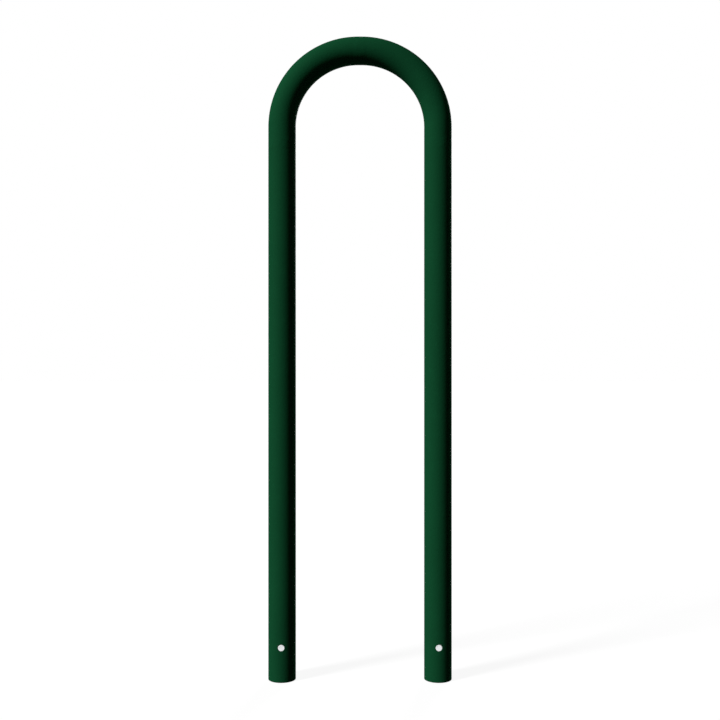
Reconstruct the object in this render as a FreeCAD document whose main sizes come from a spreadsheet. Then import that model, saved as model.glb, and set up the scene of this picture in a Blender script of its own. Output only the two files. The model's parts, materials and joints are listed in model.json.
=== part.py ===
"""Hoop barrier: a tall, narrow hoop of coated steel tube for setting in the ground.

The hoop is welded up from two straight legs and two quarter bends. Each butt joint stands on a
backing sleeve inside the tube, and its weld is ground flush before coating. A cross hole near the
foot of each leg takes an anchor bar.

Frame: +Z up, +X across the hoop, origin midway between the legs at the level of their feet.
Units are millimetres.
"""
import FreeCAD, Part
import os

import Sketcher

# Driving dimensions: cell alias and value
DRIVING = (
    ("hoop_height", 1400.0),          # feet to the top of the crown
    ("hoop_width", 400.0),            # over the outsides of the legs
    ("tube_diameter", 60.0),          # outside
    ("tube_wall", 2.5),
    ("crown_straight", 8.0),          # straight tube between the two bends
    ("anchor_hole_diameter", 14.0),
    ("anchor_hole_height", 75.0),     # foot to the middle of the hole
    ("sleeve_length", 60.0),          # backing sleeve in each leg joint
    ("sleeve_wall", 3.0),
    ("sleeve_clearance", 0.1),        # radial, sleeve to tube
    ("sleeve_margin", 10.0),          # straight tube beyond a sleeve's end
    ("weld_gap", 2.0),                # between the tube ends at the root of a weld
    ("weld_root_face", 0.6),          # square land left at the inside of a bevelled end
    ("weld_bevel_angle", 30.0),       # degrees, each tube end
    ("edge_break", 0.6),              # deburred edges
)

# Derived dimensions: cell alias and formula
DERIVED = (
    ("outer_radius", "tube_diameter / 2"),
    ("inner_radius", "outer_radius - tube_wall"),
    ("leg_offset", "hoop_width / 2 - outer_radius"),
    ("bend_radius", "leg_offset - crown_straight / 2"),
    ("bend_tangent", "sleeve_length / 2 + sleeve_margin"),
    ("joint_height", "hoop_height - outer_radius - bend_radius - bend_tangent"),
    ("crown_height", "bend_tangent + bend_radius"),
    ("leg_length", "joint_height - weld_gap / 2"),
    ("land_radius", "inner_radius + weld_root_face"),
    ("bevel_reach", "(tube_wall - weld_root_face) * tan(weld_bevel_angle)"),
    ("weld_half_width", "weld_gap / 2 + bevel_reach"),
    ("sleeve_outer_radius", "inner_radius - sleeve_clearance"),
    ("sleeve_inner_radius", "sleeve_outer_radius - sleeve_wall"),
)

FULL_TURN = 360.0
QUARTER_TURN = 90.0
NEAR = 0.01                           # two places this close are the same
UP = FreeCAD.Vector(0, 0, 1)
THROUGH = FreeCAD.Vector(0, 1, 0)

doc = FreeCAD.newDocument("hoop_barrier")


# Sheet of dimensions

def make_sheet():
    """The sheet that every sketch, feature and placement reads."""
    sheet = doc.addObject("Spreadsheet::Sheet", "dims")
    for row, (alias, value) in enumerate(DRIVING, start=1):
        sheet.set(f"A{row}", alias)
        sheet.set(f"B{row}", str(value))
        sheet.setAlias(f"B{row}", alias)
    for row, (alias, formula) in enumerate(DERIVED, start=len(DRIVING) + 1):
        sheet.set(f"A{row}", alias)
        sheet.set(f"B{row}", f"={formula}")
        sheet.setAlias(f"B{row}", alias)
    doc.recompute()
    return sheet


sheet = make_sheet()


def from_sheet(formula):
    """A formula in the sheet's aliases, spaced between words, as another object's expression."""
    aliases = {alias for alias, _ in DRIVING + DERIVED}
    return " ".join(f"dims.{word}" if word in aliases else word for word in formula.split())


def value_of(formula):
    """The number that a formula in the sheet's aliases has now."""
    return float(sheet.evalExpression(from_sheet(formula)))


# Sketches

def make_body(label):
    """An empty body with the sub-part's name."""
    body = doc.addObject("PartDesign::Body", label)
    body.Label = label
    return body


def make_sketch(body, name, plane, height=None):
    """A sketch on one of the body's own origin planes, lifted along the plane's normal if asked."""
    sketch = body.newObject("Sketcher::SketchObject", f"{body.Label}_{name}")
    support = next(f for f in body.Origin.OriginFeatures if f.Role == plane)
    sketch.AttachmentSupport = (support, [""])
    sketch.MapMode = "FlatFace"
    if height:
        sketch.setExpression("AttachmentOffset.Base.z", from_sheet(height))
        doc.recompute()
    return sketch


def bind_distance(sketch, kind, geometry, point, formula):
    """Dimensions a point from the sketch's origin along X or Y, and ties it to the sheet."""
    if formula == "0":
        axis = -2 if kind == "DistanceX" else -1
        sketch.addConstraint(Sketcher.Constraint("PointOnObject", geometry, point, axis))
        return
    constraint = Sketcher.Constraint(kind, -1, 1, geometry, point, value_of(formula))
    index = sketch.addConstraint(constraint)
    sketch.setExpression(f"Constraints[{index}]", from_sheet(formula))


def draw_outline(sketch, corners):
    """A closed outline of straight lines. Each corner is a pair of formulas, across and up."""
    points = [FreeCAD.Vector(value_of(x), value_of(y), 0) for x, y in corners]
    count = len(points)
    for i in range(count):
        sketch.addGeometry(Part.LineSegment(points[i], points[(i + 1) % count]), False)
    for i in range(count):
        sketch.addConstraint(Sketcher.Constraint("Coincident", i, 2, (i + 1) % count, 1))
    for i, (x, y) in enumerate(corners):
        bind_distance(sketch, "DistanceX", i, 1, x)
        bind_distance(sketch, "DistanceY", i, 1, y)


def draw_circle(sketch, centre, radius):
    """A circle whose centre and radius are formulas."""
    x, y = centre
    middle = FreeCAD.Vector(value_of(x), value_of(y), 0)
    circle = Part.Circle(middle, FreeCAD.Vector(0, 0, 1), value_of(radius))
    geometry = sketch.addGeometry(circle, False)
    bind_distance(sketch, "DistanceX", geometry, 3, x)
    bind_distance(sketch, "DistanceY", geometry, 3, y)
    index = sketch.addConstraint(Sketcher.Constraint("Radius", geometry, value_of(radius)))
    sketch.setExpression(f"Constraints[{index}]", from_sheet(radius))


def draw_axis(sketch, start, end):
    """A construction line between two points, for a revolution to turn about."""
    points = [FreeCAD.Vector(value_of(x), value_of(y), 0) for x, y in (start, end)]
    geometry = sketch.addGeometry(Part.LineSegment(*points), True)
    for point, (x, y) in ((1, start), (2, end)):
        bind_distance(sketch, "DistanceX", geometry, point, x)
        bind_distance(sketch, "DistanceY", geometry, point, y)


# Features

def revolve(body, name, sketch, axis, angle=FULL_TURN, backwards=False):
    """Adds the sketch turned about one of its own axes."""
    feature = body.newObject("PartDesign::Revolution", f"{body.Label}_{name}")
    feature.Profile = (sketch, [""])
    feature.ReferenceAxis = (sketch, [axis])
    feature.Angle = angle
    feature.Reversed = backwards
    sketch.Visibility = False
    doc.recompute()
    return feature


def cut_through(body, name, sketch):
    """Cuts the sketch right through the body, both ways from its plane."""
    before = body.Shape.Volume
    feature = body.newObject("PartDesign::Pocket", f"{body.Label}_{name}")
    feature.Profile = (sketch, [""])
    feature.Type = "ThroughAll"
    feature.Midplane = True
    doc.recompute()
    if body.Shape.Volume >= before:
        raise RuntimeError(f"{feature.Name} cut nothing out of {body.Label}")
    return feature


def place(body, x="0", z="0", turn=0.0, about=UP):
    """Puts a finished body at its place in the hoop."""
    body.Placement = FreeCAD.Placement(FreeCAD.Vector(0, 0, 0), FreeCAD.Rotation(about, turn))
    body.setExpression("Placement.Base.x", from_sheet(x))
    body.setExpression("Placement.Base.z", from_sheet(z))


# Legs

def make_leg(label, side):
    """A straight leg: foot deburred, upper end bevelled for its weld, cross hole near the foot."""
    body = make_body(label)
    wall = make_sketch(body, "wall", "XZ_Plane")
    draw_outline(wall, [
        ("inner_radius + edge_break", "0"),
        ("outer_radius - edge_break", "0"),
        ("outer_radius", "edge_break"),
        ("outer_radius", "leg_length - bevel_reach"),
        ("land_radius", "leg_length"),
        ("inner_radius", "leg_length"),
        ("inner_radius", "edge_break"),
    ])
    revolve(body, "tube", wall, "V_Axis")
    hole = make_sketch(body, "hole", "XZ_Plane")
    draw_circle(hole, ("0", "anchor_hole_height"), "anchor_hole_diameter / 2")
    soften_hole(body, cut_through(body, "anchor_hole", hole))
    place(body, x=f"{side} * leg_offset")
    return body


def soften_hole(body, pocket):
    """Rounds the outer rims of the anchor hole."""
    hole_height = value_of("anchor_hole_height")
    middle_of_wall = value_of("outer_radius - tube_wall / 2")
    rims = []
    for number, edge in enumerate(pocket.Shape.Edges, start=1):
        box = edge.BoundBox
        is_rim = abs(box.Center.z - hole_height) < NEAR and box.ZLength > NEAR
        if is_rim and max(-box.YMin, box.YMax) > middle_of_wall:
            rims.append(f"Edge{number}")
    feature = body.newObject("PartDesign::Fillet", f"{body.Label}_rims")
    feature.Base = (pocket, rims)
    feature.setExpression("Radius", from_sheet("edge_break"))
    doc.recompute()
    return feature


# Bends

def make_bend(label, turn):
    """A quarter bend with a straight end for its leg's sleeve and a short one at the crown.

    It is drawn on the +X side, from the level of the leg joint up.
    """
    body = make_body(label)
    ring = make_sketch(body, "ring", "XY_Plane", height="bend_tangent")
    draw_circle(ring, ("leg_offset", "0"), "outer_radius")
    draw_circle(ring, ("leg_offset", "0"), "inner_radius")
    draw_axis(ring, ("crown_straight / 2", "0"), ("crown_straight / 2", "outer_radius"))
    revolve(body, "quarter", ring, "Axis0", angle=QUARTER_TURN, backwards=True)

    lower = make_sketch(body, "lower_end", "XZ_Plane")
    draw_outline(lower, [
        ("leg_offset + inner_radius", "bend_tangent"),
        ("leg_offset + outer_radius", "bend_tangent"),
        ("leg_offset + outer_radius", "weld_half_width"),
        ("leg_offset + land_radius", "weld_gap / 2"),
        ("leg_offset + inner_radius", "weld_gap / 2"),
    ])
    draw_axis(lower, ("leg_offset", "0"), ("leg_offset", "bend_tangent"))
    revolve(body, "lower_tangent", lower, "Axis0")

    upper = make_sketch(body, "upper_end", "XZ_Plane")
    draw_outline(upper, [
        ("crown_straight / 2", "crown_height + inner_radius"),
        ("crown_straight / 2", "crown_height + outer_radius"),
        ("weld_half_width", "crown_height + outer_radius"),
        ("weld_gap / 2", "crown_height + land_radius"),
        ("weld_gap / 2", "crown_height + inner_radius"),
    ])
    draw_axis(upper, ("0", "crown_height"), ("crown_straight / 2", "crown_height"))
    revolve(body, "upper_tangent", upper, "Axis0")
    place(body, z="joint_height", turn=turn)
    return body


# Backing sleeves and welds

def make_sleeve(label, length, **where):
    """A backing sleeve, with its outer edges broken so that it slides in."""
    body = make_body(label)
    wall = make_sketch(body, "wall", "XZ_Plane")
    draw_outline(wall, [
        ("sleeve_inner_radius", "0"),
        ("sleeve_outer_radius - edge_break", "0"),
        ("sleeve_outer_radius", "edge_break"),
        ("sleeve_outer_radius", f"{length} - edge_break"),
        ("sleeve_outer_radius - edge_break", length),
        ("sleeve_inner_radius", length),
    ])
    revolve(body, "ring", wall, "V_Axis")
    place(body, **where)
    return body


def make_weld(label, **where):
    """The weld metal of one joint: it fills the bevels, seats on the sleeve and is flush outside."""
    body = make_body(label)
    bead = make_sketch(body, "bead", "XZ_Plane")
    draw_outline(bead, [
        ("sleeve_outer_radius", "bevel_reach"),
        ("land_radius", "bevel_reach"),
        ("outer_radius", "0"),
        ("outer_radius", "2 * weld_half_width"),
        ("land_radius", "bevel_reach + weld_gap"),
        ("sleeve_outer_radius", "bevel_reach + weld_gap"),
    ])
    revolve(body, "ring", bead, "V_Axis")
    place(body, **where)
    return body


# The hoop

pieces = []
for name, side, turn in (("left", -1, 180.0), ("right", 1, 0.0)):
    pieces.append(make_leg(f"{name}_leg", side))
    pieces.append(make_bend(f"{name}_bend", turn))
    pieces.append(make_sleeve(
        f"{name}_joint_sleeve",
        "sleeve_length",
        x=f"{side} * leg_offset",
        z="joint_height - sleeve_length / 2",
    ))
    pieces.append(make_weld(
        f"{name}_joint_weld",
        x=f"{side} * leg_offset",
        z="joint_height - weld_half_width",
    ))
pieces.append(make_sleeve(
    "crown_backing_ring",
    "crown_straight",
    x="- crown_straight / 2",
    z="joint_height + crown_height",
    turn=QUARTER_TURN,
    about=THROUGH,
))
pieces.append(make_weld(
    "crown_weld",
    x="- weld_half_width",
    z="joint_height + crown_height",
    turn=QUARTER_TURN,
    about=THROUGH,
))
doc.recompute()


# Checks and files

def check_document():
    """Stops if an object failed to build, or a sub-part isn't one valid solid."""
    for thing in doc.Objects:
        if {"Invalid", "Error"} & set(thing.State):
            raise RuntimeError(f"{thing.Name} failed: {thing.State}")
    for piece in pieces:
        shape = piece.Shape
        if shape.isNull() or not shape.isValid() or len(shape.Solids) != 1:
            raise RuntimeError(f"{piece.Label} isn't one valid solid")


check_document()
os.makedirs("parts", exist_ok=True)
for piece in pieces:
    piece.Shape.exportStep(os.path.join("parts", f"{piece.Label}.step"))
    print(f"{piece.Label}: {piece.Shape.Volume / 1000:.2f} cm3")
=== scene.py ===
"""Looks of the hoop barrier: a tall, narrow hoop of steel tube under a dark green powder coat.

Two legs, two quarter bends and the three ground welds between them are modelled as real tube, with
a wall, a zinc-coated bore, open feet and rounded anchor holes. The backing sleeves inside the
joints keep their solids. Places and sizes are read from the solids, in metres: +Z up, +X across
the hoop, the front towards -Y. Pieces are made on the right and turned half round for the left.
"""

import json
import math

import bmesh
import bpy
from mathutils import Matrix, Vector


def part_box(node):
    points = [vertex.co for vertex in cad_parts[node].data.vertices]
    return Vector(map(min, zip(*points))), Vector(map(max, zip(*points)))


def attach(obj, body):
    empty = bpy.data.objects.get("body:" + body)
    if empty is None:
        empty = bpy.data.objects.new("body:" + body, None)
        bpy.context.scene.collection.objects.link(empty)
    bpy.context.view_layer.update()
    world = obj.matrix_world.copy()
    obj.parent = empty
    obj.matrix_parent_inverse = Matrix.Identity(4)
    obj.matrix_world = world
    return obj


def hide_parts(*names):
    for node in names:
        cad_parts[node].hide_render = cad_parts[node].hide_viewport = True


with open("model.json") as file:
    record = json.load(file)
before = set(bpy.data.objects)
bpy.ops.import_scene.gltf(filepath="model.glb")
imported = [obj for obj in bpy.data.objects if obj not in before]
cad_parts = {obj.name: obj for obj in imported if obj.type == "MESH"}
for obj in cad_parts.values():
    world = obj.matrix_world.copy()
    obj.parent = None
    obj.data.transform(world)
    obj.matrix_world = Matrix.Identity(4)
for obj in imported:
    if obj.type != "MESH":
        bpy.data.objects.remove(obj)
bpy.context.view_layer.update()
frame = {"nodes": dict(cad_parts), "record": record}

MM = 0.001
FULL_TURN = 2 * math.pi
HALF_TURN = math.pi
QUARTER_TURN = math.pi / 2
EIGHTH_TURN = math.pi / 4

# Sizes of the tube

leg_low, leg_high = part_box("right_leg")
bend_low, bend_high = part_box("right_bend")
weld_low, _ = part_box("right_joint_weld")
sleeve_low, sleeve_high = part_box("right_joint_sleeve")

SLEEVE_CLEARANCE = 0.1 * MM
ROOT_FACE = 0.6 * MM                            # square edge left inside a bevelled tube end
BEND_STRAIGHT = 4 * MM                          # straight tube from the crown's middle to the bend

LEG_OUT = (leg_low.x + leg_high.x) / 2          # middle of the hoop to a leg's axis
TUBE_RADIUS = (leg_high.x - leg_low.x) / 2
SLEEVE_RADIUS = (sleeve_high.x - sleeve_low.x) / 2
BORE_RADIUS = SLEEVE_RADIUS + SLEEVE_CLEARANCE
LAND_RADIUS = BORE_RADIUS + ROOT_FACE
WALL = TUBE_RADIUS - BORE_RADIUS
LEG_TOP = leg_high.z
BEND_FOOT = bend_low.z
BEND_END = bend_low.x                           # half the gap of the crown's weld
JOINT_HEIGHT = (LEG_TOP + BEND_FOOT) / 2
CROWN_AXIS = bend_high.z - TUBE_RADIUS
BEND_RADIUS = LEG_OUT - BEND_STRAIGHT
SPRING = CROWN_AXIS - BEND_RADIUS               # where the legs begin to bend
ARC_END = SPRING + BEND_RADIUS * QUARTER_TURN   # where the bending ends, along the middle line
BEVEL_REACH = LEG_TOP - weld_low.z

# Anchor holes, edges and welds

mounts = {mount["name"]: mount for mount in frame["record"]["mounts"]}
HOLE_HEIGHT = mounts["right_anchor_hole"]["pos_m"][2]
HOLE_RADIUS = mounts["right_anchor_hole"]["dims"]["r_mm"] * MM
EDGE_BREAK = 0.6 * MM                           # rounding of the foot's edges and the holes' rims
BURR_BREAK = 0.15 * MM                          # the holes' inner rims
RIM_COLLAR = 1.6 * EDGE_BREAK                   # reach of the first round of faces about a hole
WELD_PROUD = 0.02 * MM                          # left by the grinder, under the coat

# Fineness of the meshes

ROUND = 128                                     # faces round the tube
EDGE_STEPS = 4                                  # faces across a rounded edge
FOOT_LEVELS = (2 * EDGE_BREAK, 20 * MM, 40 * MM, 55 * MM)      # rings below the hole
LEG_ROWS = 26                                   # faces up a leg, above its hole
BEND_ROWS = 3                                   # faces up the straight end of a bend
BEND_STEPS = 72                                 # faces along a bend
PATCH = 7                                       # half the square opened for a hole, in faces
PATCH_ROW = 1.5 * MM                            # height of one of its faces
PATCH_UP = PATCH * PATCH_ROW
PATCH_TURN = PATCH * FULL_TURN / ROUND
WELD_RINGS = (-0.6, -0.2, 0.2, 0.6)             # rings over a weld, in half widths from its middle
SHARP = math.radians(35)                        # from here on, an edge shows as one
MERGE = 0.02 * MM                               # points nearer than this are one


# Rings of a tube

def ring_of(geom):
    """The edges and vertices of a ring, out of what an operator made."""
    verts = [part for part in geom if isinstance(part, bmesh.types.BMVert)]
    kept = set(verts)
    edges = [part for part in geom if isinstance(part, bmesh.types.BMEdge)]
    return [edge for edge in edges if kept.issuperset(edge.verts)], verts


def first_ring(bm, radius, centre):
    """A level ring, its vertices starting on the X axis."""
    made = bmesh.ops.create_circle(
        bm, segments=ROUND, radius=radius, matrix=Matrix.Translation(centre))
    return list({edge for vert in made["verts"] for edge in vert.link_edges})


def next_ring(bm, ring, centre, scale=1.0, move=(0, 0, 0)):
    """Draws a ring out to a new one, scaled about its centre and moved on."""
    made = bmesh.ops.extrude_edge_only(bm, edges=ring)
    edges, verts = ring_of(made["geom"])
    space = Matrix.Translation(-Vector(centre))
    bmesh.ops.scale(bm, verts=verts, vec=(scale, scale, scale), space=space)
    bmesh.ops.translate(bm, verts=verts, vec=move)
    return edges


def swept_ring(bm, ring, angle):
    """Sweeps a ring round the bend."""
    verts = list({vert for edge in ring for vert in edge.verts})
    made = bmesh.ops.spin(
        bm, geom=verts + ring, cent=(BEND_STRAIGHT, 0, SPRING), axis=(0, 1, 0),
        angle=angle, steps=BEND_STEPS)
    return ring_of(made["geom_last"])[0]


def turned_section(bm, section, axis_out):
    """Turns a closed section of radii and heights round an upright axis."""
    verts = [bm.verts.new((axis_out + radius, 0, height)) for radius, height in section]
    edges = [bm.edges.new(pair) for pair in zip(verts, verts[1:] + verts[:1])]
    bmesh.ops.spin(
        bm, geom=verts + edges, cent=(axis_out, 0, 0), axis=(0, 0, 1),
        angle=FULL_TURN, steps=ROUND, use_merge=True)


def off_leg_axis(point):
    """How far a point lies from the right leg's axis."""
    return math.hypot(point.x - LEG_OUT, point.y)


def tube_place(point):
    """Where a point of the right half lies on the tube: along its middle line, round it and off it."""
    if point.z < SPRING:
        along = point.z
        outward = point.x - LEG_OUT
    elif point.x < BEND_STRAIGHT:
        along = ARC_END + BEND_STRAIGHT - point.x
        outward = point.z - CROWN_AXIS
    else:
        along = SPRING + BEND_RADIUS * math.atan2(point.z - SPRING, point.x - BEND_STRAIGHT)
        outward = math.hypot(point.x - BEND_STRAIGHT, point.z - SPRING) - BEND_RADIUS
    return along, math.atan2(point.y, outward), math.hypot(outward, point.y)


# Maps of the unrolled tube, on which the finishes can be painted

EXPORT_MAP = "OFBake"                           # a fixed name for the map; the name that the export looks for
COAT_SHARE = 0.7                                # of the map's width; the rest is for the bore
MAP_GAP = 0.01                                  # keeps each strip's colour off its neighbours


def fold_out(point, ends):
    """Along and round the unrolled tube to a point of the coat, hole walls and tube ends folded out."""
    across = point.x - LEG_OUT
    above = point.z - HOLE_HEIGHT
    off_hole = math.hypot(across, above)
    if off_hole < HOLE_RADIUS + EDGE_BREAK:
        sunk = math.sqrt(TUBE_RADIUS ** 2 - across ** 2) - abs(point.y)
        inward = 1 - sunk / off_hole
        across *= inward
        out = math.copysign(math.sqrt(TUBE_RADIUS ** 2 - across ** 2), point.y)
        point = Vector((LEG_OUT + across, out, HOLE_HEIGHT + above * inward))
    along, around, off = tube_place(point)
    depth = TUBE_RADIUS - off
    if along > sum(ends) / 2:                   # upper end, with its bevel
        return along + depth, around
    if depth > WALL / 2:                        # inner half of the foot's edge
        along = 2 * ends[0] - along
    return along - depth, around


def unroll(bm, lengths):
    """Lays a tube flat, cut into lengths side by side: its coat on the left, its bore on the right."""
    layer = bm.loops.layers.uv.new(EXPORT_MAP)
    ends = (lengths[0], lengths[-1])
    for face in bm.faces:
        coated = face.material_index == 0
        along, middle, _ = tube_place(face.calc_center_median())
        column = sum(along > cut for cut in lengths[1:-1])
        low, high = lengths[column:column + 2]
        width = (COAT_SHARE if coated else 1 - COAT_SHARE) / (len(lengths) - 1)
        left = (0 if coated else COAT_SHARE) + width * column
        for loop in face.loops:
            if coated:
                along, around = fold_out(loop.vert.co, ends)
            else:
                along, around, _ = tube_place(loop.vert.co)
            if abs(around - middle) > HALF_TURN:
                around += math.copysign(FULL_TURN, middle - around)
            over = (around + HALF_TURN) / FULL_TURN
            up = (along - low + WALL) / (high - low + 2 * WALL)
            loop[layer].uv = (
                left + MAP_GAP + over * (width - 2 * MAP_GAP),
                MAP_GAP + up * (1 - 2 * MAP_GAP))


# Finished pieces

def put_in_scene(name, data):
    """An object in the scene, at the origin."""
    made = bpy.data.objects.new(name, data)
    bpy.context.scene.collection.objects.link(made)
    return made


def put_mesh_in_scene(name, bm, materials):
    """An object of a finished mesh and its materials."""
    mesh = bpy.data.meshes.new(name)
    bm.to_mesh(mesh)
    bm.free()
    for material in materials:
        mesh.materials.append(material)
    return put_in_scene(name, mesh)


def finish_piece(bm, name, turn, materials, lengths=None):
    """Closes a mesh made on the right, turns it to its side and gives it to the hoop."""
    bmesh.ops.remove_doubles(bm, verts=bm.verts, dist=MERGE)
    bmesh.ops.recalc_face_normals(bm, faces=bm.faces)
    for face in bm.faces:
        face.smooth = True
        in_bore = tube_place(face.calc_center_median())[2] < BORE_RADIUS + BURR_BREAK / 2
        face.material_index = 1 if in_bore and len(materials) > 1 else 0
    for edge in bm.edges:
        edge.smooth = edge.calc_face_angle(0.0) < SHARP
    if lengths:
        unroll(bm, lengths)
    bmesh.ops.rotate(bm, verts=bm.verts, cent=(0, 0, 0), matrix=Matrix.Rotation(turn, 3, "Z"))
    piece = put_mesh_in_scene(name, bm, materials)
    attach(piece, "root")
    return piece


# Legs

def leg_heights():
    """The levels of a leg's rings, close together where the anchor hole is."""
    levels = list(FOOT_LEVELS)
    levels += [HOLE_HEIGHT + PATCH_ROW * row for row in range(-PATCH, PATCH + 1)]
    above = levels[-1]
    top = LEG_TOP - BEVEL_REACH
    levels += [above + (top - above) * row / LEG_ROWS for row in range(1, LEG_ROWS + 1)]
    return levels


def hole_point(around, radius, wall, inset, facing):
    """A point of a hole's edge, by its angle, its distance from the hole's axis and its wall."""
    across = radius * math.cos(around)
    depth = math.sqrt(wall * wall - across * across) - inset
    return Vector((LEG_OUT + across, facing * depth, HOLE_HEIGHT + radius * math.sin(around)))


def square_to_angle(vert, wall):
    """The even angle round the hole that belongs to a vertex on the opened square."""
    across = math.asin((vert.co.x - LEG_OUT) / wall) / PATCH_TURN
    up = (vert.co.z - HOLE_HEIGHT) / PATCH_UP
    if abs(across) > abs(up):
        return up / across * EIGHTH_TURN + (HALF_TURN if across < 0 else 0)
    return QUARTER_TURN - across / up * EIGHTH_TURN + (HALF_TURN if up < 0 else 0)


def open_square(bm, wall, facing):
    """Takes out the square of faces where a hole comes, and gives the edges round it."""
    half_across = wall * math.sin(PATCH_TURN)
    patch = set()
    for face in bm.faces:
        middle = face.calc_center_median()
        on_wall = abs(off_leg_axis(middle) - wall) < EDGE_BREAK and middle.y * facing > 0
        beside = abs(middle.x - LEG_OUT) < half_across
        level = abs(middle.z - HOLE_HEIGHT) < PATCH_UP
        if on_wall and beside and level:
            patch.add(face)
    rim = [edge for face in patch for edge in face.edges
           if sum(linked in patch for linked in edge.link_faces) == 1]
    bmesh.ops.delete(bm, geom=list(patch), context="FACES_ONLY")
    stray = [edge for edge in bm.edges if not edge.link_faces]
    bmesh.ops.delete(bm, geom=stray, context="EDGES")
    loose = [vert for vert in bm.verts if not vert.link_edges]
    bmesh.ops.delete(bm, geom=loose, context="VERTS")
    return rim


def draw_hole(bm, wall, facing, rings):
    """Draws the opened square in to the hole, ring by ring: distance from the axis, wall and inset."""
    rim = open_square(bm, wall, facing)
    angles = None
    for radius, ring_wall, inset in rings:
        made = bmesh.ops.extrude_edge_only(bm, edges=rim)
        rim, verts = ring_of(made["geom"])
        if angles is None:
            angles = {vert: square_to_angle(vert, wall) for vert in verts}
        else:
            angles = {vert: math.atan2(vert.co.z - HOLE_HEIGHT, vert.co.x - LEG_OUT)
                      for vert in verts}
        for vert, around in angles.items():
            vert.co = hole_point(around, radius, ring_wall, inset, facing)


def rim_rings():
    """The rings over a hole's rounded outer rim, as draw_hole takes them."""
    rings = [(HOLE_RADIUS + RIM_COLLAR, TUBE_RADIUS, 0.0)]
    for step in range(EDGE_STEPS + 1):
        turn = QUARTER_TURN * step / EDGE_STEPS
        radius = HOLE_RADIUS + EDGE_BREAK * (1 - math.sin(turn))
        rings.append((radius, TUBE_RADIUS, EDGE_BREAK * (1 - math.cos(turn))))
    return rings


def foot_edges(bm):
    """The two round edges of a leg's foot."""
    level = [edge for edge in bm.edges if all(abs(vert.co.z) < MERGE for vert in edge.verts)]
    return [edge for edge in level
            if abs(off_leg_axis(edge.verts[0].co) - off_leg_axis(edge.verts[1].co)) < MERGE]


def make_leg(name, turn, materials):
    """A straight leg: open tube, a rounded foot, a hole through both walls and a bevelled top."""
    bm = bmesh.new()
    heights = leg_heights()
    section = [(TUBE_RADIUS, 0.0)]
    section += [(TUBE_RADIUS, height) for height in heights]
    section += [(LAND_RADIUS, LEG_TOP), (BORE_RADIUS, LEG_TOP)]
    section += [(BORE_RADIUS, height) for height in reversed(heights)]
    section += [(BORE_RADIUS, 0.0)]
    turned_section(bm, section, LEG_OUT)
    bmesh.ops.remove_doubles(bm, verts=bm.verts, dist=MERGE)
    bmesh.ops.bevel(
        bm, geom=foot_edges(bm), offset=EDGE_BREAK, offset_type="OFFSET", affect="EDGES",
        segments=EDGE_STEPS, profile=0.5, material=-1)

    lip = (HOLE_RADIUS, BORE_RADIUS, -BURR_BREAK)
    burr = (HOLE_RADIUS + BURR_BREAK, BORE_RADIUS, 0.0)
    for facing in (-1, 1):
        draw_hole(bm, TUBE_RADIUS, facing, rim_rings() + [lip])
        draw_hole(bm, BORE_RADIUS, facing, [burr, lip])
    halfway = min(heights, key=lambda height: abs(height - LEG_TOP / 2))
    return finish_piece(bm, name, turn, materials, (0.0, halfway, LEG_TOP))


# Bends

def make_bend(name, turn, materials):
    """A quarter bend of tube, with bevelled ends at the leg joint and at the crown."""
    bm = bmesh.new()
    foot = Vector((LEG_OUT, 0, BEND_FOOT))
    row = (SPRING - BEND_FOOT - BEVEL_REACH) / BEND_ROWS
    ring = first_ring(bm, BORE_RADIUS, foot)
    ring = next_ring(bm, ring, foot, LAND_RADIUS / BORE_RADIUS)
    ring = next_ring(bm, ring, foot, TUBE_RADIUS / LAND_RADIUS, (0, 0, BEVEL_REACH))
    for _ in range(BEND_ROWS):
        ring = next_ring(bm, ring, foot, move=(0, 0, row))
    ring = swept_ring(bm, ring, -QUARTER_TURN)

    bevel = Vector((BEVEL_REACH, 0, 0))
    crown = Vector((BEND_END, 0, CROWN_AXIS))
    ring = next_ring(bm, ring, crown, move=(BEND_END + BEVEL_REACH - BEND_STRAIGHT, 0, 0))
    ring = next_ring(bm, ring, crown + bevel, LAND_RADIUS / TUBE_RADIUS, -bevel)
    ring = next_ring(bm, ring, crown, BORE_RADIUS / LAND_RADIUS)
    ring = next_ring(bm, ring, crown, move=(BEND_STRAIGHT - BEND_END, 0, 0))
    ring = swept_ring(bm, ring, QUARTER_TURN)
    next_ring(bm, ring, foot, move=(0, 0, BEND_FOOT - SPRING))
    lengths = (BEND_FOOT, ARC_END + BEND_STRAIGHT - BEND_END)
    return finish_piece(bm, name, turn, materials, lengths)


# Welds

def make_weld(name, middle, along, turn, materials):
    """A weld ground flush, lying on its sleeve and filling the bevels of two tube ends."""
    bm = bmesh.new()
    root = (BEND_FOOT - LEG_TOP) / 2
    half = root + BEVEL_REACH
    section = [(SLEEVE_RADIUS, -root), (LAND_RADIUS, -root), (TUBE_RADIUS, -half)]
    section += [(TUBE_RADIUS + WELD_PROUD * (1 - part * part), half * part) for part in WELD_RINGS]
    section += [(TUBE_RADIUS, half), (LAND_RADIUS, root), (SLEEVE_RADIUS, root)]
    turned_section(bm, section, 0.0)
    lay = Vector((0, 0, 1)).rotation_difference(Vector(along)).to_matrix()
    bmesh.ops.rotate(bm, verts=bm.verts, cent=(0, 0, 0), matrix=lay)
    bmesh.ops.translate(bm, verts=bm.verts, vec=middle)
    return finish_piece(bm, name, turn, materials)


# Nodes of the finishes

RISE = (0.0, 1.0)
FALL = (1.0, 0.0)
MIDDLE = (0.3, 0.7)                             # where most of a noise lies


def new_finish(name):
    """An empty finish: its nodes, its shader's inputs and the place on the piece."""
    material = bpy.data.materials.new(name)
    material.use_nodes = True
    tree = material.node_tree
    where = tree.nodes.new("ShaderNodeTexCoord").outputs["Object"]
    return material, tree, tree.nodes["Principled BSDF"].inputs, where


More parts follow.
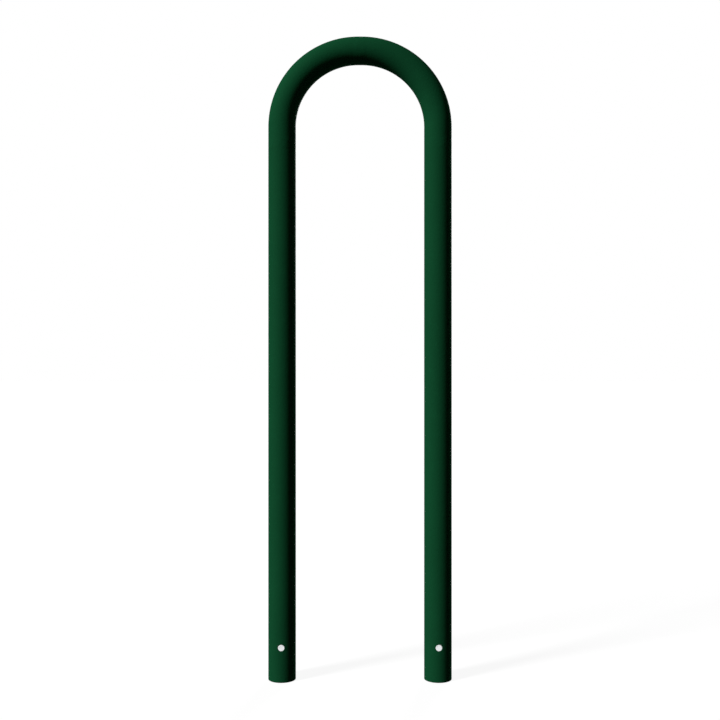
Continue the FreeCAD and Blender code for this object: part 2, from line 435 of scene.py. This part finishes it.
def feed(tree, value, socket):
    """Links an input to another node's output, or sets it to a plain value."""
    if isinstance(value, bpy.types.NodeSocket):
        tree.links.new(value, socket)
    elif socket.type == "RGBA":
        socket.default_value = (*value, 1.0)
    else:
        socket.default_value = value


def add(tree, kind, **inputs):
    """A node with its inputs fed."""
    made = tree.nodes.new(kind)
    for name, value in inputs.items():
        feed(tree, value, made.inputs[name])
    return made


def noise(tree, where, pattern):
    """Cloudy variation: its scale in a metre, its octaves and the strength of the finer ones."""
    scale, detail, roughness = pattern
    made = add(
        tree, "ShaderNodeTexNoise", Vector=where, Scale=scale, Detail=detail, Roughness=roughness)
    return made.outputs["Fac"]


def ramp(tree, value, span, to, smooth=False):
    """A value carried from one span to another, and kept inside it."""
    made = tree.nodes.new("ShaderNodeMapRange")
    made.interpolation_type = "SMOOTHSTEP" if smooth else "LINEAR"
    feed(tree, value, made.inputs["Value"])
    for name, end in zip(("From Min", "From Max", "To Min", "To Max"), (*span, *to)):
        feed(tree, end, made.inputs[name])
    return made.outputs["Result"]


def reckon(tree, operation, first, second=0.0):
    """One value, or two joined, by an operation."""
    made = tree.nodes.new("ShaderNodeMath")
    made.operation = operation
    feed(tree, first, made.inputs[0])
    feed(tree, second, made.inputs[1])
    return made.outputs["Value"]


def blend(tree, factor, first, second):
    """Two colours mixed by a factor."""
    made = tree.nodes.new("ShaderNodeMix")
    made.data_type = "RGBA"
    feed(tree, factor, made.inputs["Factor"])
    colours = [socket for socket in made.inputs if socket.type == "RGBA"]
    feed(tree, first, colours[0])
    feed(tree, second, colours[1])
    return next(socket for socket in made.outputs if socket.type == "RGBA")


def emboss(tree, surface, height, depth, strength):
    """Gives a surface the relief of a pattern."""
    bump = add(tree, "ShaderNodeBump", Strength=strength, Distance=depth, Height=height)
    feed(tree, bump.outputs["Normal"], surface["Normal"])


def shade(colour, by):
    """A colour made lighter or darker."""
    return tuple(part * by for part in colour)


# Powder coat

MOSS_GREEN = (0.0068, 0.0763, 0.0284)
CLOUD_GREENS = (shade(MOSS_GREEN, 0.95), shade(MOSS_GREEN, 1.06))
MOTTLE_GREEN = shade(MOSS_GREEN, 1.12)
PIT_GREEN = shade(MOSS_GREEN, 0.72)
FLECK_GREEN = shade(MOSS_GREEN, 1.35)
WORN_GREEN = (0.04, 0.105, 0.066)               # zinc shining through a thin coat
COAT_ROUGHNESS = (0.58, 0.72)
COAT_SHINE = 0.005

CLOUD = (6.0, 3.0, 0.55)
DRIFT = (24.0, 4.0, 0.6)
MOTTLE = (48.0, 3.0, 0.6)
WAVES = (75.0, 1.0, 0.4)
WEAR = (150.0, 3.0, 0.6)
PEEL = (240.0, 1.0, 0.4)
GRAIN = (950.0, 2.0, 0.55)
ASKEW = (0.6, 0.45, 0.8)                        # turns a fine pattern off the tube's own directions

MOTTLE_TOPS = (0.56, 0.7)
MOTTLE_SHARE = (0.0, 0.5)
GRAIN_PITS = (0.3, 0.44)
PIT_SHARE = (0.6, 0.0)
GRAIN_TIPS = (0.58, 0.72)
FLECK_SHARE = (0.0, 0.6)
WEAR_SPAN = (0.36, 0.6)
WEAR_SHARE = (0.1, 0.8)

COAT_RELIEF = 0.22 * MM
GRAIN_RELIEF = 0.35                             # beside the peel's
WAVE_RELIEF = 2.5
GROUND_REACH = (5 * MM, 16 * MM)                # from a joint, where the grinder went
THIN_FOOT = (0.3 * MM, 2.6 * MM)                # above the floor
THIN_RIM = (HOLE_RADIUS + 0.1 * MM, HOLE_RADIUS + 1.1 * MM)


def near_joint(tree, place):
    """1 at a welded joint, falling to 0 where the grinder stopped."""
    up = reckon(tree, "ABSOLUTE", reckon(tree, "SUBTRACT", place["Z"], JOINT_HEIGHT))
    aside = reckon(tree, "ABSOLUTE", place["X"])
    return ramp(tree, reckon(tree, "MINIMUM", up, aside), GROUND_REACH, FALL, smooth=True)


def near_edges(tree, place):
    """1 at the foot's edge and at the rims of the anchor holes, where the coat is thin."""
    at_foot = ramp(tree, place["Z"], THIN_FOOT, FALL, smooth=True)
    beside = reckon(tree, "SUBTRACT", reckon(tree, "ABSOLUTE", place["X"]), LEG_OUT)
    above = reckon(tree, "SUBTRACT", place["Z"], HOLE_HEIGHT)
    squares = [reckon(tree, "MULTIPLY", part, part) for part in (beside, above)]
    off_hole = reckon(tree, "SQRT", reckon(tree, "ADD", *squares))
    at_rim = ramp(tree, off_hole, THIN_RIM, FALL, smooth=True)
    return reckon(tree, "MAXIMUM", at_foot, at_rim)


def powder_coat(name):
    """Dark green powder coat, matt and finely structured: cloudy tone, grain, and thin edges."""
    material, tree, surface, where = new_finish(name)
    place = add(tree, "ShaderNodeSeparateXYZ", Vector=where).outputs
    turned = add(tree, "ShaderNodeMapping", Vector=where, Rotation=ASKEW).outputs["Vector"]
    grain = noise(tree, turned, GRAIN)
    peel = noise(tree, turned, PEEL)

    cloud = ramp(tree, noise(tree, where, CLOUD), MIDDLE, RISE)
    colour = blend(tree, cloud, *CLOUD_GREENS)
    mottle = ramp(tree, noise(tree, where, MOTTLE), MOTTLE_TOPS, MOTTLE_SHARE)
    colour = blend(tree, mottle, colour, MOTTLE_GREEN)
    pit = ramp(tree, grain, GRAIN_PITS, PIT_SHARE)
    colour = blend(tree, pit, colour, PIT_GREEN)
    fleck = ramp(tree, grain, GRAIN_TIPS, FLECK_SHARE)
    colour = blend(tree, fleck, colour, FLECK_GREEN)
    wear = ramp(tree, noise(tree, where, WEAR), WEAR_SPAN, WEAR_SHARE)
    thin = reckon(tree, "MULTIPLY", near_edges(tree, place), wear)
    feed(tree, blend(tree, thin, colour, WORN_GREEN), surface["Base Color"])

    rough = ramp(tree, noise(tree, where, DRIFT), MIDDLE, COAT_ROUGHNESS)
    feed(tree, rough, surface["Roughness"])
    feed(tree, COAT_SHINE, surface["Specular IOR Level"])

    ground = reckon(tree, "MULTIPLY", near_joint(tree, place), WAVE_RELIEF)
    waves = reckon(tree, "MULTIPLY", noise(tree, where, WAVES), ground)
    structure = reckon(tree, "ADD", peel, reckon(tree, "MULTIPLY", grain, GRAIN_RELIEF))
    emboss(tree, surface, reckon(tree, "ADD", structure, waves), COAT_RELIEF, strength=1.0)
    return material


# Zinc in the bore

ZINC_FLAKES = ((0.93, 0.935, 0.94), (0.97, 0.973, 0.975))
ZINC_RUN = (0.9, 0.905, 0.915)
ZINC_ROUGHNESS = (0.05, 0.1)
SPANGLES = 190.0                                # in a metre
SPANGLE_BLUR = 0.7
FLAKE_SPAN = (0.2, 0.8)
RUNS = (160.0, 3.0, 0.55)
RUN_STRETCH = (1.0, 1.0, 0.08)                  # draws the runs out along the legs
RUN_TOPS = (0.55, 0.75)
RUN_SHARE = (0.0, 0.4)
RUN_RELIEF = 0.06 * MM


def bore_zinc(name):
    """Hot-dip zinc inside the tube: spangles, and runs along the wall."""
    material, tree, surface, where = new_finish(name)
    spangle = tree.nodes.new("ShaderNodeTexVoronoi")
    spangle.feature = "SMOOTH_F1"
    feed(tree, where, spangle.inputs["Vector"])
    feed(tree, SPANGLES, spangle.inputs["Scale"])
    feed(tree, SPANGLE_BLUR, spangle.inputs["Smoothness"])
    flake = add(tree, "ShaderNodeSeparateColor", Color=spangle.outputs["Color"]).outputs["Red"]
    drawn = add(tree, "ShaderNodeMapping", Vector=where, Scale=RUN_STRETCH).outputs["Vector"]
    runs = noise(tree, drawn, RUNS)
    colour = blend(tree, flake, *ZINC_FLAKES)
    colour = blend(tree, ramp(tree, runs, RUN_TOPS, RUN_SHARE), colour, ZINC_RUN)
    feed(tree, colour, surface["Base Color"])
    feed(tree, 1.0, surface["Metallic"])
    feed(tree, ramp(tree, flake, FLAKE_SPAN, ZINC_ROUGHNESS), surface["Roughness"])
    emboss(tree, surface, runs, RUN_RELIEF, strength=0.25)
    return material


# Bare steel of the sleeves

OILED_STEEL = ((0.36, 0.365, 0.37), (0.48, 0.485, 0.49))
TOOL_MARK = (0.3, 0.3, 0.31)
STEEL_ROUGHNESS = (0.28, 0.45)
OIL = (60.0, 3.0, 0.6)
TOOL_RINGS = 900.0                              # in a metre
TOOL_WANDER = 0.6
TOOL_SHARE = (0.0, 0.25)
TOOL_RELIEF = 0.05 * MM


def turned_steel(name, axis):
    """Bare turned steel: fine tool rings across the axis, and a dull cloud of mill oil."""
    material, tree, surface, where = new_finish(name)
    tool = tree.nodes.new("ShaderNodeTexWave")
    tool.bands_direction = axis
    feed(tree, where, tool.inputs["Vector"])
    feed(tree, TOOL_RINGS, tool.inputs["Scale"])
    feed(tree, TOOL_WANDER, tool.inputs["Distortion"])
    rings = tool.outputs["Fac"]
    oil = noise(tree, where, OIL)
    colour = blend(tree, oil, *OILED_STEEL)
    colour = blend(tree, ramp(tree, rings, RISE, TOOL_SHARE), colour, TOOL_MARK)
    feed(tree, colour, surface["Base Color"])
    feed(tree, 1.0, surface["Metallic"])
    feed(tree, ramp(tree, oil, MIDDLE, STEEL_ROUGHNESS), surface["Roughness"])
    emboss(tree, surface, rings, TOOL_RELIEF, strength=0.3)
    return material


# The hoop

coat = powder_coat("moss_green_coat")
zinc = bore_zinc("zinc_in_bore")

joint = Vector((LEG_OUT, 0, JOINT_HEIGHT))
for side, turn in (("left", HALF_TURN), ("right", 0.0)):
    leg = make_leg(f"{side}_coated_leg", turn, (coat, zinc))
    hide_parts(f"{side}_leg")
    bend = make_bend(f"{side}_coated_bend", turn, (coat, zinc))
    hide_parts(f"{side}_bend")
    weld = make_weld(f"{side}_ground_weld", joint, (0, 0, 1), turn, (coat,))
    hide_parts(f"{side}_joint_weld")
crown_weld = make_weld("crown_ground_weld", Vector((0, 0, CROWN_AXIS)), (1, 0, 0), 0.0, (coat,))
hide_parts("crown_weld")

sleeve_steel = turned_steel("turned_steel_sleeve", "Z")
ring_steel = turned_steel("turned_steel_ring", "X")
for node, steel in (
    ("left_joint_sleeve", sleeve_steel),
    ("right_joint_sleeve", sleeve_steel),
    ("crown_backing_ring", ring_steel),
):
    solid = frame["nodes"][node]
    solid.data.materials.clear()
    solid.data.materials.append(steel)


# Floor, light and camera

FLOOR_HALF = 30.0
FLOOR_DROP = 0.2 * MM
FLOOR_TONE = 0.18                               # where the floor is seen
FLOOR_BOUNCE = 0.04                             # in the light that it gives back
FLOOR_GLOW = 0.9
WHITE = (1.0, 1.0, 1.0)
AMBIENT = 0.025                                 # what the surroundings themselves light
CAMERA_PLACE = (0.0, -2.1825, 0.6955)
CAMERA_LENS = 50.0
CAMERA_SENSOR = 36.0
CAMERA_REACH = 100.0


def seen_directly(tree):
    """How rays show the surroundings: 1 for a ray to the camera, and 1 for one in a mirror or glass."""
    path = tree.nodes.new("ShaderNodeLightPath").outputs
    mirrored = reckon(tree, "MAXIMUM", path["Is Glossy Ray"], path["Is Transmission Ray"])
    return path["Is Camera Ray"], mirrored


def pale_floor(name):
    """A floor that shows white and keeps the hoop's shadow."""
    material = bpy.data.materials.new(name)
    material.use_nodes = True
    tree = material.node_tree
    tree.nodes.remove(tree.nodes["Principled BSDF"])
    facing, mirrored = seen_directly(tree)
    tone = ramp(tree, facing, RISE, (FLOOR_BOUNCE, FLOOR_TONE))
    matt = add(tree, "ShaderNodeBsdfDiffuse", Color=tone)
    white = reckon(tree, "MAXIMUM", reckon(tree, "MULTIPLY", facing, FLOOR_GLOW), mirrored)
    glow = add(tree, "ShaderNodeEmission", Strength=white)
    both = tree.nodes.new("ShaderNodeAddShader")
    feed(tree, matt.outputs["BSDF"], both.inputs[0])
    feed(tree, glow.outputs["Emission"], both.inputs[1])
    feed(tree, both.outputs["Shader"], tree.nodes["Material Output"].inputs["Surface"])
    return material


def make_floor():
    """A wide floor, just under the feet."""
    bm = bmesh.new()
    bmesh.ops.create_grid(bm, x_segments=1, y_segments=1, size=FLOOR_HALF)
    bmesh.ops.translate(bm, verts=bm.verts, vec=(0, 0, -FLOOR_DROP))
    floor = put_mesh_in_scene("floor", bm, (pale_floor("pale_floor"),))


def make_lamp(name, level, softness, leftward, upward):
    """A far, soft lamp at angles from the front; level 1 shows a facing colour as written."""
    data = bpy.data.lights.new(name, "SUN")
    data.energy = level * math.pi
    data.angle = math.radians(softness)
    lamp = put_in_scene(name, data)
    lamp.rotation_euler = (math.radians(90.0 - upward), 0.0, math.radians(-leftward))


def make_surroundings():
    """White all round, with little light of its own on the hoop."""
    world = bpy.data.worlds.new("surroundings")
    bpy.context.scene.world = world
    world.use_nodes = True
    tree = world.node_tree
    around = tree.nodes["Background"].inputs
    white = reckon(tree, "MAXIMUM", *seen_directly(tree))
    feed(tree, ramp(tree, white, RISE, (AMBIENT, 1.0)), around["Strength"])
    feed(tree, WHITE, around["Color"])


def make_camera():
    """Straight on, level, at about half the hoop's height."""
    data = bpy.data.cameras.new("camera")
    data.lens = CAMERA_LENS
    data.sensor_width = CAMERA_SENSOR
    data.clip_end = CAMERA_REACH
    camera = put_in_scene("camera", data)
    camera.location = CAMERA_PLACE
    camera.rotation_euler = (QUARTER_TURN, 0.0, 0.0)
    bpy.context.scene.camera = camera


make_floor()
make_surroundings()
make_lamp("key_lamp", level=0.92, softness=12.0, leftward=56.0, upward=32.0)
make_lamp("back_lamp", level=0.7, softness=16.0, leftward=-164.0, upward=12.0)
make_camera()
bpy.context.scene.view_settings.view_transform = "Standard"
